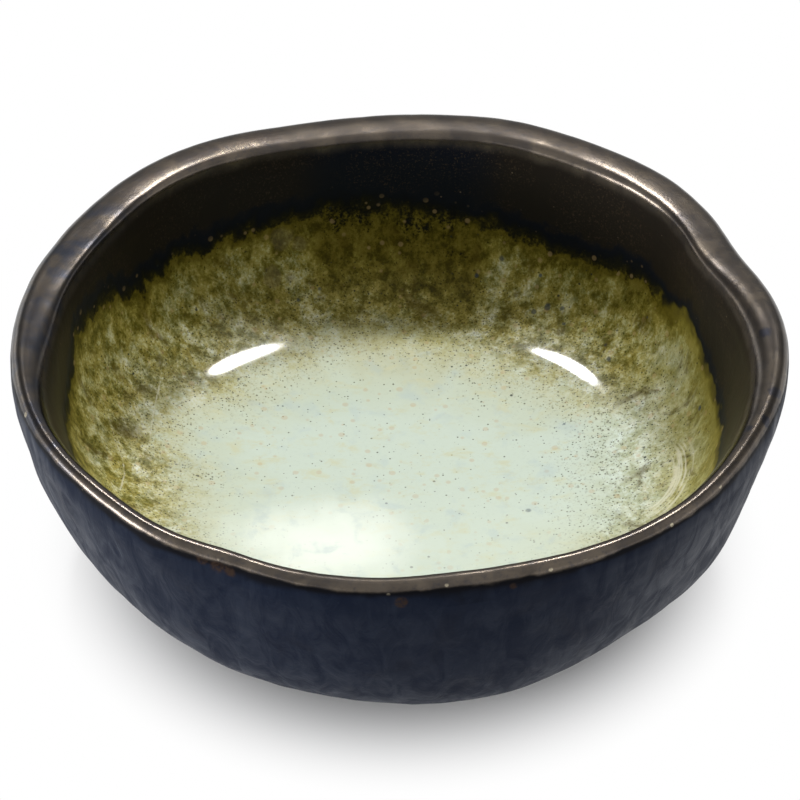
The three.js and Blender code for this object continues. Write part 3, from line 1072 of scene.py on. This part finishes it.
# %% The floor
FLOOR_WIDTH = 6
SHADOW_RADIUS = 0.036
WHITE_RADIUS = 0.06
PAPER = (0.9, 0.9, 0.9, 1)
WHITE = (1, 1, 1, 1)
bpy.ops.object.select_all(action="DESELECT")
bpy.ops.mesh.primitive_plane_add(size=FLOOR_WIDTH)
floor = bpy.context.object
floor.name = "floor"
tree = start_material("white_floor")
far = from_middle(tree, split(tree, add(tree, "TexCoord").outputs["Object"]))
paper = add(tree, "BsdfDiffuse", {"Color": PAPER}).outputs[0]
glow = add(tree, "Emission", {"Color": WHITE, "Strength": 1.0}).outputs[0]
sockets = {0: fade(tree, far, SHADOW_RADIUS, WHITE_RADIUS), 1: paper, 2: glow}
above = add(tree, "MixShader", sockets).outputs[0]
below = add(tree, "BsdfTransparent").outputs[0]
sockets = {0: add(tree, "NewGeometry").outputs["Backfacing"], 1: above, 2: below}
add(tree, "OutputMaterial", {0: add(tree, "MixShader", sockets).outputs[0]})
floor.data.materials.append(bpy.data.materials["white_floor"])

# %% The lamps
LAMP_DISTANCE = 0.9


def soft_box(name, azimuth, elevation, width, height, brightness):
    """A lamp that faces the dish, brightest in its middle. The azimuth runs from +Y towards +X."""
    lamp = bpy.data.lights.new(name, "AREA")
    lamp.shape = "RECTANGLE"
    lamp.size = width
    lamp.size_y = height
    lamp.energy = brightness * math.pi * width * height
    lamp.use_nodes = True
    tree = lamp.node_tree
    tree.nodes.clear()
    spot = split(tree, add(tree, "NewGeometry").outputs["Parametric"])
    sockets = {0: sums(tree, "SUBTRACT", spot[0], 0.5), 1: sums(tree, "SUBTRACT", spot[1], 0.5)}
    off_middle = measure(tree, "LENGTH", add(tree, "CombineXYZ", sockets).outputs[0])
    glow = add(tree, "Emission", {"Strength": fade(tree, off_middle, 0.5, 0.2)})
    add(tree, "OutputLight", {0: glow.outputs[0]})
    holder = bpy.data.objects.new(name, lamp)
    turn = math.radians(azimuth)
    lift = math.radians(elevation)
    holder.location = (
        LAMP_DISTANCE * math.cos(lift) * math.sin(turn),
        LAMP_DISTANCE * math.cos(lift) * math.cos(turn),
        LAMP_DISTANCE * math.sin(lift) + LIP_LEVEL,
    )
    holder.rotation_euler = (math.pi / 2 - lift, 0, math.pi - turn)
    holder.visible_camera = False
    bpy.context.scene.collection.objects.link(holder)


soft_box("right_box", 23.0, 55.0, 0.2, 0.12, 120)
soft_box("left_box", -24.5, 54.5, 0.14, 0.12, 190)
soft_box("side_box", -100, 5, 0.6, 0.24, 40)
print("lamps", [light.name for light in bpy.data.lights])

# %% [markdown]
# The sky is dim in front and brighter behind, as in a room whose window is behind the dish. A pale
# patch behind and one overhead give the lip and the floor of the bowl their sheen, and a pale low sky
# at both sides shows along the outside. A card in front is there for gloss alone and gives no other
# light. A picture of a real room could stand here, but these few patches can each be moved and dimmed.

# %% The sky
GLOW_WAY = (0.087, 0.824, 0.559)
BACK_WAY = (0.0, 0.64, 0.77)
GLOW = 0.35
OVERHEAD = 1.0
CARD = 0.95
LOW_LEFT = 3.2
LOW_RIGHT = 1.4
world = bpy.data.worlds.new("sky")
bpy.context.scene.world = world
world.use_nodes = True
world.node_tree.nodes.clear()
tree = world.node_tree
direction = add(tree, "TexCoord").outputs["Generated"]
ways = split(tree, direction)
backward = measure(tree, "DOT_PRODUCT", direction, BACK_WAY)
glow = fade(tree, measure(tree, "DOT_PRODUCT", direction, GLOW_WAY), 0.8, 0.97, 0.0, GLOW)
brightness = sums(tree, "ADD", fade(tree, backward, -0.4, 0.5, 0.06, 0.26), glow)
brightness = sums(tree, "ADD", brightness, fade(tree, ways[2], 0.8, 0.97, 0.0, OVERHEAD))
in_gloss = add(tree, "LightPath").outputs["Is Glossy Ray"]
in_front = product(tree, fade(tree, ways[1], 0.4, 0.0), fade(tree, ways[2], 0.92, 0.8))
card = product(tree, in_gloss, in_front)
brightness = sums(tree, "MULTIPLY_ADD", card, CARD, brightness)
low = fade(tree, ways[2], 0.24, 0.06)
at_left = fade(tree, ways[0], -0.2, -0.75, 0.0, LOW_LEFT)
at_right = fade(tree, ways[0], 0.3, 0.85, 0.0, LOW_RIGHT)
brightness = sums(tree, "MULTIPLY_ADD", low, at_left, brightness)
brightness = sums(tree, "MULTIPLY_ADD", low, at_right, brightness)
sky = add(tree, "Background", {"Color": WHITE, "Strength": brightness})
add(tree, "OutputWorld", {0: sky.outputs[0]})
print("sky ready:", len(tree.nodes), "nodes")

# %% Update the scene
bpy.context.view_layer.update()
